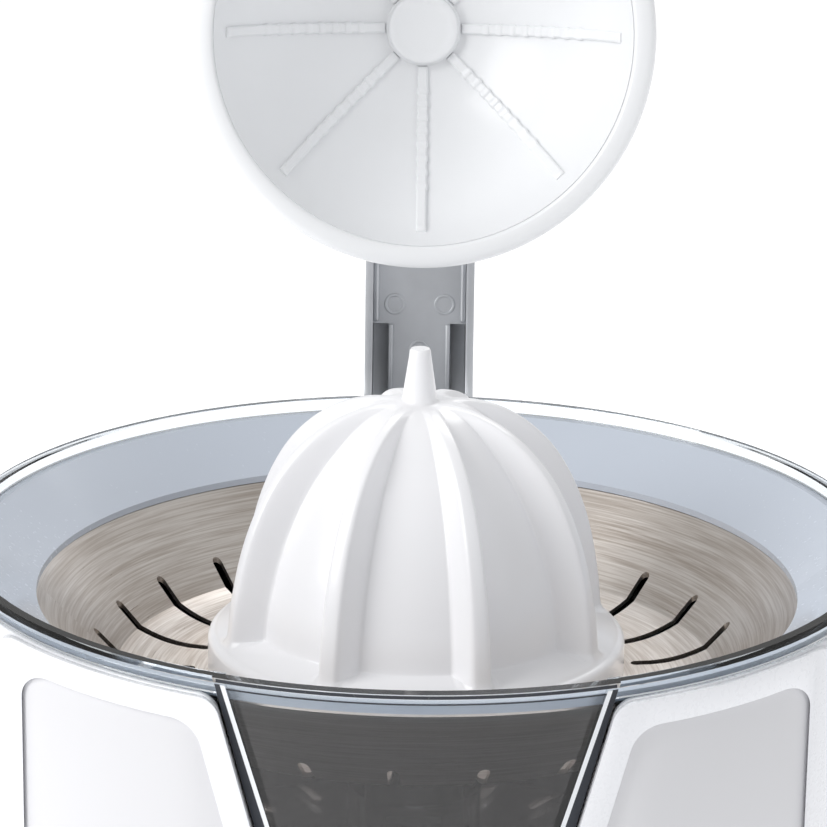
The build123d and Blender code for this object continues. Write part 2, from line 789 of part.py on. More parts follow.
flange_radius, flange_z = 88.6, ledge_z - 0.4  # outer edge of the dish's flange, under the collar
with BuildPart() as strainer_dish:
    with BuildSketch(Plane.XZ):
        with BuildLine():
            upper = Polyline(
                (flange_radius, flange_z),
                (strainer_edge_radius, strainer_edge_z - 1.6),
                (strainer_foot_radius, strainer_foot_z),
            )
            ThreePointArc(
                upper @ 1,
                (56.0, strainer_floor_z + 0.6),
                (48.0, strainer_floor_z),
            )
            Polyline(
                (48.0, strainer_floor_z),
                (13.0, strainer_floor_z),
                (13.0, strainer_floor_z - steel),
                (48.0, strainer_floor_z - steel),
            )
            ThreePointArc(
                (48.0, strainer_floor_z - steel),
                (56.4, strainer_floor_z - 0.2),
                (strainer_foot_radius + 0.6, strainer_foot_z - 0.7),
            )
            Polyline(
                (strainer_foot_radius + 0.6, strainer_foot_z - 0.7),
                (strainer_edge_radius + 0.5, strainer_edge_z - 2.2),
                (flange_radius, flange_z - 1.0),
                (flange_radius, flange_z),
            )
        make_face()
    revolve(axis=Axis.Z)
    with BuildSketch(Plane.XY.offset(strainer_floor_z - 5.0)):
        for slot in range(drain_slot_count):
            turned = first_drain_slot + slot * 360.0 / drain_slot_count
            with PolarLocations((drain_slot_start + drain_slot_end) / 2, 1, turned):
                SlotOverall(drain_slot_end - drain_slot_start, drain_slot_width)
    extrude(amount=20.0, mode=Mode.SUBTRACT)
save(strainer_dish, "strainer_dish")

# ---------------------------------------------------------------- cones
hub_radius = 9.0
small_scale = 0.6
with BuildPart() as small_cone:
    add(ridged_cone(small_scale, cone_bottom_z + 1.6))
    with BuildSketch(Plane.XY.offset(217.0)):
        Circle(hub_radius)
    extrude(amount=4.0)
    with BuildSketch(Plane.XY.offset(216.0)):
        Rectangle(5.6, 5.6)
    extrude(amount=18.5, mode=Mode.SUBTRACT)
save(small_cone, "small_cone")

cavity_top_z = cone_bottom_z + 34.0
with BuildPart() as large_cone:
    with BuildSketch(Plane.XZ):
        with BuildLine():
            Polyline(
                (0.0, cone_bottom_z),
                (cone_ring_radius - 1.0, cone_bottom_z),
                (cone_ring_radius, cone_bottom_z + 1.0),
                (cone_ring_radius, cone_ring_z - 1.2),
                (cone_ring_radius - 1.2, cone_ring_z),
                (33.0, cone_ring_z + cone_shelf_rise),
                (0.0, cone_ring_z + cone_shelf_rise),
                close=True,
            )
        make_face()
    revolve(axis=Axis.Z)
    add(ridged_cone(1.0, cone_ring_z))
    with BuildSketch(Plane.XY.offset(cone_ring_z + 44.0)):
        Circle(3.6)
    with BuildSketch(Plane.XY.offset(pin_tip_z)):
        Circle(2.05)
    loft(ruled=True)
    with BuildSketch(Plane.XZ):
        with BuildLine():
            Polyline(
                (0.0, cone_bottom_z - 1.0),
                (cone_cavity_radius + 2.0, cone_bottom_z - 1.0),
                (cone_cavity_radius, cavity_top_z - 14.0),
                (18.0, cavity_top_z),
                (0.0, cavity_top_z),
                close=True,
            )
        make_face()
    revolve(axis=Axis.Z, mode=Mode.SUBTRACT)
    with BuildSketch(Plane.XZ):
        with BuildLine():
            Polyline(
                (cone_cavity_radius + 4.5, cone_bottom_z - 1.0),
                (cone_ring_radius - 2.4, cone_bottom_z - 1.0),
                (cone_ring_radius - 2.4, cone_ring_z - 2.4),
                (cone_cavity_radius + 4.5, cone_ring_z - 1.0),
                close=True,
            )
        make_face()
    revolve(axis=Axis.Z, mode=Mode.SUBTRACT)
save(large_cone, "large_cone")

# ---------------------------------------------------------------- hinge
lug_inner, lug_outer = 14.8, 19.8
bracket_low_z, bracket_high_z = tower_top_z, 202.5
with BuildPart() as hinge_bracket:
    with BuildSketch(Plane.XY.offset(bracket_low_z)):
        with Locations((0.0, (100.0 + column_back_y) / 2)):
            RectangleRounded(2 * lug_outer, column_back_y - 100.0, 4.0)
    extrude(amount=bracket_high_z - bracket_low_z)
    for side in (-1, 1):
        with BuildSketch(Plane.YZ.offset(side * lug_inner)):
            with Locations((pivot_y, pivot_z)):
                Circle(9.0)
            with Locations((pivot_y, (pivot_z + bracket_low_z) / 2)):
                Rectangle(16.0, pivot_z - bracket_low_z)
        extrude(amount=side * (lug_outer - lug_inner))
    with BuildSketch(Plane.YZ.offset(-30.0)):
        with Locations((pivot_y, pivot_z)):
            Circle(hinge_pin_radius)
    extrude(amount=60.0, mode=Mode.SUBTRACT)
save(hinge_bracket, "hinge_bracket")

with BuildPart() as hinge_pin:
    with BuildSketch(Plane.YZ.offset(-lug_outer)):
        with Locations((pivot_y, pivot_z)):
            Circle(hinge_pin_radius)
    extrude(amount=2 * lug_outer)
save(hinge_pin, "hinge_pin")

with BuildPart() as pin_caps:
    for side in (-1, 1):
        with BuildSketch(Plane.YZ.offset(side * lug_outer)):
            with Locations((pivot_y, pivot_z)):
                Circle(6.0)
        extrude(amount=side * 2.2)
    fillet(pin_caps.edges().group_by(Axis.X)[0], radius=1.0)
    fillet(pin_caps.edges().group_by(Axis.X)[-1], radius=1.0)
save(pin_caps, "pin_caps")

# ---------------------------------------------------------------- lever arm
# The arm's own frame has its origin at the hinge and stands as the arm does when lowered:
# Y runs back and Z up. arm_frame carries that frame to the raised arm.
arm_frame = Plane(Location((0.0, pivot_y, pivot_z), (-raised_angle, 0.0, 0.0)))
arm_side = arm_frame.moved(Plane.YZ)
cup_front = arm_frame.moved(Plane.XZ.offset(cup_offset))
cup_axis = Axis(arm_frame.from_local_coords((0.0, -cup_offset, 0.0)), arm_frame.z_dir)
bush_radius = 5.5


def at_height(height):
    """A plane across the cup's axis at a height above the hinge in the arm's own frame."""
    return arm_frame.moved(Plane((0.0, -cup_offset, height)))


with BuildSketch(arm_side) as arm_outline:
    with BuildLine():
        Polyline(
            (neck_half, 0.0),
            (neck_half, beam_high),
            (-arm_reach + 40.0, beam_high),
            (-arm_reach, beam_high - 5.0),
            (-arm_reach, beam_low),
            (-neck_half, beam_low),
            (-neck_half, 0.0),
            close=True,
        )
    make_face()
    for corner, radius in (
        ((neck_half, beam_high), 34.0),
        ((-neck_half, beam_low), 14.0),
        ((-arm_reach, beam_low), 4.0),
        ((-arm_reach, beam_high - 5.0), 6.0),
    ):
        fillet(arm_outline.vertices().sort_by_distance(corner)[0], radius)
    Circle(neck_half)

channel_end = -128.0
with BuildSketch(arm_side) as channel_outline:
    with BuildLine():
        Polyline(
            (neck_half - arm_wall, 14.0),
            (neck_half - arm_wall, beam_high - arm_wall),
            (channel_end, beam_high - arm_wall),
            (channel_end, beam_low - 10.0),
            (-neck_half - 30.0, beam_low - 10.0),
            (-neck_half - 30.0, 14.0),
            close=True,
        )
    make_face()
    inner_elbow = (neck_half - arm_wall, beam_high - arm_wall)
    fillet(channel_outline.vertices().sort_by_distance(inner_elbow)[0], 31.5)

with BuildPart() as arm_shell:
    extrude(arm_outline.sketch, amount=arm_half_width, both=True)
    extrude(
        channel_outline.sketch, amount=arm_half_width - arm_wall, both=True, mode=Mode.SUBTRACT
    )
    with BuildSketch(at_height(cup_rim_up + cup_depth + cup_wall + 1.2)):
        Circle(9.0)
    extrude(until=Until.NEXT)
    with BuildSketch(arm_side):
        Circle(bush_radius)
    extrude(amount=arm_half_width, both=True, mode=Mode.SUBTRACT)
save(arm_shell, "arm_shell")

with BuildPart() as hinge_bushes:
    for side in (-1, 1):
        with BuildSketch(arm_side.offset(side * 4.0)):
            Circle(bush_radius)
            Circle(hinge_pin_radius + running_gap, mode=Mode.SUBTRACT)
        extrude(amount=side * (arm_half_width - 4.0))
save(hinge_bushes, "hinge_bushes")

liner_low, liner_high = 94.0, 96.4
tongue_half, pocket_end = 8.0, -33.0
with BuildPart() as arm_liner:
    with BuildSketch(arm_frame.moved(Plane.XY.offset(liner_low))):
        with BuildLine():
            Polyline(
                (-arm_half_width + arm_wall, pocket_end),
                (-tongue_half, pocket_end),
                (-tongue_half, -14.0),
                (tongue_half, -14.0),
                (tongue_half, pocket_end),
                (arm_half_width - arm_wall, pocket_end),
                (arm_half_width - arm_wall, channel_end),
                (-arm_half_width + arm_wall, channel_end),
                close=True,
            )
        make_face()
        with Locations((0.0, -cup_offset)):
            Circle(9.0, mode=Mode.SUBTRACT)
    extrude(amount=liner_high - liner_low)
save(arm_liner, "arm_liner")

grip_half, grip_start = 16.0, -134.0
with BuildPart() as arm_grip:
    with BuildSketch(arm_side) as grip_outline:
        with BuildLine():
            Polyline(
                (grip_start, beam_low - 2.4),
                (grip_start, beam_high + 2.4),
                (-arm_reach + 38.0, beam_high + 2.4),
                (-arm_reach - 4.0, beam_high - 3.4),
                (-arm_reach - 4.0, beam_low - 2.4),
                close=True,
            )
        make_face()
        fillet(grip_outline.vertices().sort_by_distance((-arm_reach - 4.0, beam_high))[0], 8.0)
        fillet(grip_outline.vertices().sort_by_distance((-arm_reach - 4.0, beam_low))[0], 6.0)
    extrude(amount=grip_half, both=True)
    fillet(arm_grip.edges().filter_by(GeomType.LINE).group_by(Edge.length)[-1], radius=2.0)
    extrude(arm_outline.sketch, amount=arm_half_width, both=True, mode=Mode.SUBTRACT)
save(arm_grip, "arm_grip")

# ---------------------------------------------------------------- press cup
cup_sphere = (cup_inner_radius**2 + cup_depth**2) / (2 * cup_depth)
cup_middle = cup_rim_up + cup_depth - cup_sphere
with BuildPart() as press_cup:
    with BuildSketch(cup_front):
        with Locations((0.0, cup_middle)):
            Circle(cup_sphere + cup_wall)
            Circle(cup_sphere, mode=Mode.SUBTRACT)
        with Locations((100.0, cup_rim_up + 50.0)):
            Rectangle(200.0, 100.0, mode=Mode.INTERSECT)
        with Locations(((cup_inner_radius + cup_rim_radius) / 2, cup_rim_up + cup_lip / 2)):
            RectangleRounded(cup_rim_radius - cup_inner_radius, cup_lip, 2.0)
    revolve(axis=cup_axis)
    with BuildSketch(at_height(cup_rim_up + cup_depth - 2.6)):
        Circle(cup_hub_radius + 0.4)
    extrude(amount=4.0)
save(press_cup, "press_cup")

rib_inner, rib_outer, rib_rise, rib_half = 9.5, 48.5, 1.3, 1.5
with BuildPart() as cup_ribs:
    with BuildSketch(cup_front):
        with Locations((0.0, cup_middle)):
            Circle(cup_sphere)
            Circle(cup_sphere - rib_rise, mode=Mode.SUBTRACT)
        with Locations(((rib_inner + rib_outer) / 2, cup_rim_up + 50.0)):
            Rectangle(rib_outer - rib_inner, 100.0, mode=Mode.INTERSECT)
    revolve(axis=cup_axis)
    with BuildSketch(at_height(cup_rim_up - 10.0)):
        for rib in range(ridge_count):
            with PolarLocations(rib_outer / 2, 1, rib * 360.0 / ridge_count):
                Rectangle(rib_outer, 2 * rib_half)
    extrude(amount=80.0, mode=Mode.INTERSECT)
save(cup_ribs, "cup_ribs")

with BuildPart() as cup_cap:
    with BuildSketch(at_height(cup_rim_up + cup_depth - 4.4)):
        Circle(cup_hub_radius)
    extrude(amount=1.8)
save(cup_cap, "cup_cap")
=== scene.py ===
"""Looks of a lever-arm citrus press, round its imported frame. Metres, +Z up, -Y to the front."""

import json
from math import cos, pi, radians, sin, sqrt

import bmesh
import bpy
import numpy as np
from mathutils import Matrix, Vector


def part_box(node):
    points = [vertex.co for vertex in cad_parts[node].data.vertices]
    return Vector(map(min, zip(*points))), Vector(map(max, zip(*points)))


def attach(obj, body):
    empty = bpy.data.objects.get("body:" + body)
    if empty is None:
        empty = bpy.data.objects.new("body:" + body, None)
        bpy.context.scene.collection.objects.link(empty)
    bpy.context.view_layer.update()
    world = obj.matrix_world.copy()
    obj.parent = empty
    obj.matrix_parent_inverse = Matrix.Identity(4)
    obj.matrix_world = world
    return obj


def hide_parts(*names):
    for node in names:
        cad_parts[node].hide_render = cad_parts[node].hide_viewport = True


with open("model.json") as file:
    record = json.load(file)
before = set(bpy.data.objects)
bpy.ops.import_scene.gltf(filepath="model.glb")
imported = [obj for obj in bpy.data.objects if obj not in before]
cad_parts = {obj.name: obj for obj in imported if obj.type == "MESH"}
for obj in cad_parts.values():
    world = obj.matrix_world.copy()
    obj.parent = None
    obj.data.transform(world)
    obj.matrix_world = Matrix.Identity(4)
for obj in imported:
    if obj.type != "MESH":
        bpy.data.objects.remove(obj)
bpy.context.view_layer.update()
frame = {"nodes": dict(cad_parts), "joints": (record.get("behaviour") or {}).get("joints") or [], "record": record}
MM = 0.001

# ---------------------------------------------------------------- places, from the frame
JOINTS = {joint["name"]: joint for joint in frame["joints"]}
RIM_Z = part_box("juice_bowl")[1].z
RING_Z = RIM_Z - 22.5 * MM  # top outer edge of the large cone's ring
PIN_TIP_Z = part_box("large_cone")[1].z
PIVOT = Vector(JOINTS["arm_hinge"]["pos_m"])
RAISED = radians(-JOINTS["arm_hinge"]["range_deg"][0])
# carries a mesh from the lowered arm's own frame, with its origin at the hinge, to the raised arm
ARM = Matrix.Translation(PIVOT) @ Matrix.Rotation(-RAISED, 4, "X")
CUP_OFFSET, CUP_RIM_UP = 110 * MM, 40 * MM
CUP = ARM @ Matrix.Translation((0, -CUP_OFFSET, CUP_RIM_UP))


# ---------------------------------------------------------------- shader maths
class Value:
    """A shader socket that takes part in Python arithmetic; each operator adds its own node."""

    def __init__(self, tree, socket):
        self.tree = tree
        self.socket = socket

    def math(self, operation, *others):
        """The result of one Math node, with this value first."""
        node = self.tree.nodes.new("ShaderNodeMath")
        node.operation = operation
        for slot_in, item in zip(node.inputs, (self, *others)):
            connect(self.tree, slot_in, item)
        return Value(self.tree, node.outputs[0])

    def __add__(self, other):
        return self.math("ADD", other)

    def __mul__(self, other):
        return self.math("MULTIPLY", other)

    def between(self, low, high):
        """0 below low, 1 above high, smooth between."""
        node = self.tree.nodes.new("ShaderNodeMapRange")
        node.interpolation_type = "SMOOTHSTEP"
        connect(self.tree, node.inputs["Value"], self)
        node.inputs["From Min"].default_value = low
        node.inputs["From Max"].default_value = high
        return Value(self.tree, node.outputs["Result"])


def connect(tree, slot_in, item):
    """Put a number, a colour or another node's output into a socket."""
    if isinstance(item, Value):
        tree.links.new(item.socket, slot_in)
    else:
        slot_in.default_value = item


MIX_FIRST, MIX_SECOND, MIX_RESULT = 6, 7, 2  # a colour Mix node's own sockets, by index


class Finish:
    """A material being made: its Principled shader and the nodes that feed it."""

    def __init__(self, name, colour, roughness, **uniform):
        self.material = bpy.data.materials.new(name)
        self.material.use_nodes = True
        self.tree = self.material.node_tree
        self.shader = self.tree.nodes["Principled BSDF"]
        self.material.diffuse_color = (*colour, 1.0)
        self.shader.inputs["Base Color"].default_value = (*colour, 1.0)
        self.shader.inputs["Roughness"].default_value = roughness
        for socket_name, number in uniform.items():
            self.shader.inputs[socket_name.replace("_", " ")].default_value = number
        self.place = self.add("ShaderNodeTexCoord", out="Object")

    def add(self, kind, out=0, **inputs):
        """Any node: what goes into its sockets, and one of its outputs."""
        node = self.tree.nodes.new(kind)
        for key, item in inputs.items():
            connect(self.tree, node.inputs[key.replace("_", " ")], item)
        return Value(self.tree, node.outputs[out])

    def axis(self, name):
        """One coordinate of the surface point, in metres."""
        return self.add("ShaderNodeSeparateXYZ", out=name, Vector=self.place)

    def noise(self, scale, detail=3.0, vector=None):
        """Soft noise from 0 to 1, over the surface point or another vector."""
        where = self.place if vector is None else vector
        return self.add("ShaderNodeTexNoise", Vector=where, Scale=scale, Detail=detail)

    def blend(self, factor, first, second):
        """A colour between two, by factor."""
        node = self.tree.nodes.new("ShaderNodeMix")
        node.data_type = "RGBA"
        connect(self.tree, node.inputs["Factor"], factor)
        for index, item in ((MIX_FIRST, first), (MIX_SECOND, second)):
            colour = item if isinstance(item, Value) else (*item, 1.0)
            connect(self.tree, node.inputs[index], colour)
        return Value(self.tree, node.outputs[MIX_RESULT])

    def bump(self, height, strength, distance):
        """Feed a height, in 0 to 1, to the shader's normal."""
        node = self.tree.nodes.new("ShaderNodeBump")
        node.inputs["Strength"].default_value = strength
        node.inputs["Distance"].default_value = distance
        connect(self.tree, node.inputs["Height"], height)
        self.tree.links.new(node.outputs["Normal"], self.shader.inputs["Normal"])

    def feed(self, socket_name, item):
        """Put a number, a colour or a node's output into one of the shader's sockets."""
        connect(self.tree, self.shader.inputs[socket_name], item)


def moulded(name, colour, roughness=0.3, shade=0.94, grain=0.02, coat=0.3):
    """Injection-moulded plastic: faint flow shading, fine surface texture and a clear skin."""
    finish = Finish(name, colour, roughness, Coat_Weight=coat, Coat_Roughness=0.12)
    flow = finish.noise(9.0, 2.0)
    darker = tuple(channel * shade for channel in colour)
    finish.feed("Base Color", finish.blend(flow.between(0.3, 0.7), darker, colour))
    speckle = finish.noise(900.0, 2.0)
    finish.feed("Roughness", speckle * 0.10 + flow * 0.06 + (roughness - 0.08))
    finish.bump(speckle, 0.12, grain * MM)
    return finish.material


def matt_moulded(name, colour, roughness=0.55):
    """Spark-textured moulded plastic."""
    finish = Finish(name, colour, roughness)
    pits = finish.noise(1400.0, 4.0)
    worn = finish.noise(30.0, 3.0)
    darker = tuple(channel * 0.8 for channel in colour)
    finish.feed("Base Color", finish.blend(worn.between(0.35, 0.7), darker, colour))
    finish.feed("Roughness", pits * 0.18 + (roughness - 0.09))
    finish.bump(pits, 0.35, 0.06 * MM)
    return finish.material


GRAIN_ROUND = 0.0016  # how little the brushed grain changes on the way round the dish


def turned_steel(name, warm, cool):
    """Steel brushed round the spin axis: fine rings of lighter and darker metal."""
    finish = Finish(name, warm, 0.34, Metallic=1.0)
    x, y, z = (finish.axis(axis) for axis in ("X", "Y", "Z"))
    radius = (x * x + y * y).math("SQRT")
    turn = y.math("ARCTAN2", x)
    rings = finish.add("ShaderNodeCombineXYZ", X=radius, Y=turn * GRAIN_ROUND, Z=z)
    fine = finish.noise(2600.0, 4.0, vector=rings)
    broad = finish.noise(300.0, 2.0, vector=rings)
    mottle = finish.noise(24.0, 3.0)
    streak = fine * 0.55 + broad * 0.25 + mottle * 0.2
    finish.feed("Base Color", finish.blend(streak.between(0.32, 0.68), warm, cool))
    finish.feed("Roughness", fine * 0.22 + mottle * 0.08 + 0.18)
    finish.bump(fine, 0.25, 0.02 * MM)
    return finish.material


def cast_metal(name, colour, roughness=0.42):
    """Die-cast aluminium with a satin blasted skin."""
    finish = Finish(name, colour, roughness, Metallic=0.85)
    grain = finish.noise(1500.0, 3.0)
    cloud = finish.noise(40.0, 4.0)
    darker = tuple(channel * 0.82 for channel in colour)
    finish.feed("Base Color", finish.blend(cloud.between(0.3, 0.7), darker, colour))
    finish.feed("Roughness", grain * 0.16 + cloud * 0.1 + (roughness - 0.13))
    finish.bump(grain, 0.3, 0.03 * MM)
    return finish.material


# Depths below the rim at which the window's tints come in: a faint grey first, then painted shade, dark blue-grey,
# lower down.
FAINT_TINT_STARTS, FAINT_TINT_FULL = 4 * MM, 7 * MM
PAINTED_SHADE_STARTS, PAINTED_SHADE_FULL = 30 * MM, 36 * MM
FRONT_STARTS, FRONT_FULL = 0.06, 0.08  # how far forward of the spin axis the tint lies


def clear_moulded(name):
    """Clear plastic with faint haze; at the window a faint grey tint below the rim, and painted shade, dark
    blue-grey, lower down where the bowl's inside lies in shade.
    """
    finish = Finish(name, (0.88, 0.92, 0.96), 0.04, IOR=1.49, Transmission_Weight=1.0)
    haze = finish.noise(60.0, 3.0)
    clear = finish.blend(haze.between(0.3, 0.7), (0.84, 0.89, 0.94), (0.90, 0.94, 0.97))
    depth = finish.axis("Z") * -1.0 + RIM_Z
    front = (finish.axis("Y") * -1.0).between(FRONT_STARTS, FRONT_FULL)
    faint = depth.between(FAINT_TINT_STARTS, FAINT_TINT_FULL) * front
    # painted shade: lower down at the front the pane turns dark blue-grey, standing in for the shaded inside of
    # the bowl
    painted_shade = depth.between(PAINTED_SHADE_STARTS, PAINTED_SHADE_FULL) * front
    upper = finish.blend(faint, clear, (0.74, 0.72, 0.73))
    finish.feed("Base Color", finish.blend(painted_shade, upper, (0.26, 0.31, 0.44)))
    finish.feed("Roughness", haze * 0.04 + 0.01)
    return finish.material


FINISHES = {
    "housing_white": moulded("housing_white", (0.82, 0.83, 0.86), 0.28),
    "panel_white": moulded("panel_white", (0.66, 0.66, 0.68), 0.42, coat=0.0),
    "dark_plastic": matt_moulded("dark_plastic", (0.022, 0.026, 0.036)),
    "rubber": matt_moulded("rubber", (0.02, 0.02, 0.02), 0.8),
    "screw_steel": cast_metal("screw_steel", (0.56, 0.56, 0.58), 0.3),
    "steel_plate": cast_metal("steel_plate", (0.36, 0.36, 0.38), 0.5),
    "bush_bronze": cast_metal("bush_bronze", (0.55, 0.38, 0.18), 0.45),
    "gear_plastic": matt_moulded("gear_plastic", (0.78, 0.76, 0.68), 0.5),
    "clear_plastic": clear_moulded("clear_plastic"),
    "spout_plastic": moulded("spout_plastic", (0.80, 0.82, 0.85), 0.25),
    "tray_plastic": moulded("tray_plastic", (0.66, 0.68, 0.72), 0.3),
    "brushed_steel": turned_steel("brushed_steel", (0.46, 0.40, 0.35), (0.74, 0.70, 0.66)),
    # painted shade: the collar is white plastic, coloured blue-grey here for the shade its inner face lies in
    "collar_plastic": moulded("collar_plastic", (0.56, 0.61, 0.69), 0.25),
    "cone_white": moulded("cone_white", (0.89, 0.89, 0.91), 0.3, 0.97),
    "arm_metal": cast_metal("arm_metal", (0.62, 0.635, 0.66)),
    "grip_plastic": matt_moulded("grip_plastic", (0.70, 0.71, 0.73), 0.5),
    "cup_white": moulded("cup_white", (0.86, 0.87, 0.885), 0.34, 0.97),
}
SLOT_OF = {part["node"]: part["material_slot"] for part in frame["record"]["subparts"]}
BODY_OF = {
    node: body for body, nodes in frame["record"]["behaviour"]["bodies"].items() for node in nodes
}
for node_name, node_object in frame["nodes"].items():
    node_object.data.materials.clear()
    node_object.data.materials.append(FINISHES[SLOT_OF[node_name]])


# ---------------------------------------------------------------- mesh helpers
def piece_from(bm, name, node, replaces=True, smooth_angle=35.0):
    """Finish a bmesh as a piece that rides with a CAD node's body and takes its slot."""
    mesh = bpy.data.meshes.new(name)
    bmesh.ops.recalc_face_normals(bm, faces=bm.faces)
    for face in bm.faces:
        face.smooth = True
    bm.to_mesh(mesh)
    bm.free()
    return own_mesh(mesh, name, node, replaces, smooth_angle)


def own_mesh(mesh, name, node, replaces=True, smooth_angle=35.0):
    """Make an object of a finished mesh and tie it to its CAD node."""
    mesh.set_sharp_from_angle(angle=radians(smooth_angle))
    mesh.materials.clear()
    mesh.materials.append(FINISHES[SLOT_OF[node]])
    piece = bpy.data.objects.new(name, mesh)
    bpy.context.scene.collection.objects.link(piece)
    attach(piece, BODY_OF[node])
    if replaces:
        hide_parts(node)
    return piece


def grid_of(rows, closed_columns=True):
    """A bmesh skinned over rows of points; a row of one point is a pole."""
    bm = bmesh.new()
    made = [[bm.verts.new(point) for point in row] for row in rows]
    for lower, upper in zip(made, made[1:]):
        count = max(len(lower), len(upper))
        steps = range(count if closed_columns else count - 1)
        for index in steps:
            following = (index + 1) % count
            if len(lower) == 1:
                bm.faces.new((lower[0], upper[index], upper[following]))
            elif len(upper) == 1:
                bm.faces.new((lower[index], upper[0], lower[following]))
            else:
                bm.faces.new((lower[index], upper[index], upper[following], lower[following]))
    return bm


def ring_of(radius, height, count):
    """A circle of points at a height; a radius of nothing is one point."""
    if radius < 1e-9:
        return [Vector((0, 0, height))]
    return [
        Vector((radius * cos(2 * pi * k / count), radius * sin(2 * pi * k / count), height))
        for k in range(count)
    ]


def smooth_through(points, steps):
    """A smooth line through a few points, by Catmull-Rom."""
    points = np.array(points, float)
    padded = np.vstack([2 * points[0] - points[1], points, 2 * points[-1] - points[-2]])
    line = []
    for k in range(1, len(padded) - 2):
        a, b, c, d = padded[k - 1 : k + 3]
        for step in range(steps):
            t = step / steps
            line.append(
                0.5
                * (
                    2 * b
                    + (c - a) * t
                    + (2 * a - 5 * b + 4 * c - d) * t**2
                    + (3 * b - a - 3 * c + d) * t**3
                )
            )
    line.append(points[-1])
    return np.array(line)


MERGE_DISTANCE = 2e-6
FLAT_ANGLE = radians(0.5)  # neighbours nearer to flat than this are one face
EASED_EDGE, EASED_SEGMENTS = 0.4 * MM, 2
SHARP_ANGLE = radians(32.0)  # edges sharper than this are eased


def refined(node):
    """A CAD node's shape with its facets merged and its sharp edges eased, in place of the node."""
    bm = bmesh.new()
    bm.from_mesh(frame["nodes"][node].data)
    bmesh.ops.remove_doubles(bm, verts=bm.verts, dist=MERGE_DISTANCE)
    bmesh.ops.dissolve_limit(
        bm, angle_limit=FLAT_ANGLE, verts=bm.verts, edges=bm.edges, use_dissolve_boundaries=False
    )
    mesh = bpy.data.meshes.new(node)
    for face in bm.faces:
        face.smooth = True
    bm.to_mesh(mesh)
    bm.free()
    worker = bpy.data.objects.new("worker", mesh)
    bpy.context.scene.collection.objects.link(worker)
    bevel = worker.modifiers.new("edges", "BEVEL")
    bevel.width = EASED_EDGE
    bevel.segments = EASED_SEGMENTS
    bevel.limit_method = "ANGLE"
    bevel.angle_limit = SHARP_ANGLE
    bevel.use_clamp_overlap = True
    done = bpy.data.meshes.new_from_object(
        worker.evaluated_get(bpy.context.evaluated_depsgraph_get())
    )
    bpy.data.objects.remove(worker)
    own_mesh(done, f"{node}_eased", node, smooth_angle=40.0)


def skinned(sections):
    """A closed bmesh over a run of closed sections, with both ends capped."""
    bm = grid_of(sections)
    count = len(sections[0])
    bm.verts.ensure_lookup_table()
    bm.faces.new([bm.verts[k] for k in range(count)])
    bm.faces.new([bm.verts[k] for k in range(-count, 0)])
    return bm


def joined(parts):
    """One bmesh of several; the parts are used up."""
    whole = bmesh.new()
    for part in parts:
        mesh = bpy.data.meshes.new("part")
        part.to_mesh(mesh)
        part.free()
        whole.from_mesh(mesh)
        bpy.data.meshes.remove(mesh)
    return whole


def carried(bm, matrix):
    """Take a bmesh from millimetres in its own frame to its place."""
    bmesh.ops.transform(bm, matrix=matrix @ Matrix.Scale(MM, 4), verts=bm.verts)
    return bm


# ---------------------------------------------------------------- large cone
# Each line is radius and height above the ring's top edge, in mm, from the ring to the pin's foot.
CREST_LINE = [(40.5, 2.2), (40.3, 3.4), (39.9, 7.4), (39.2, 12.0), (38.0, 18.0), (36.1, 24.5),
              (33.2, 31.3), (29.4, 37.4), (24.6, 42.4), (19.0, 46.2), (13.0, 48.5), (8.0, 49.3),
              (4.4, 49.4)]
VALLEY_LINE = [(34.4, 2.6), (33.9, 3.4), (33.5, 7.4), (32.6, 12.0), (31.1, 18.0), (28.8, 24.5),
               (25.7, 31.0), (22.0, 36.8), (18.2, 41.3), (14.6, 45.0), (11.0, 47.7), (7.4, 49.1),
               (4.4, 49.4)]
FIRST_RIDGE = radians(-26.0 - 90.0)
RIDGES = 8
RIDGE_PITCH = 2 * pi / RIDGES
RIDGE_HALF = 4.3  # half width of a ridge at its foot on the widest part, in mm
RIDGE_FLANK = 2.5  # width of each of its steep sides there
RIDGE_TAPER = 0.3  # share of those widths that is left at the top of the cone
WIDEST_VALLEY = 33.9
CONE_COLUMNS = 640
STEPS_BETWEEN_POINTS = 7


def eased_floor(number, ease):
    """The number where it is above nothing, else nothing, with an eased corner."""
    return 0.5 * (number + sqrt(number**2 + ease))


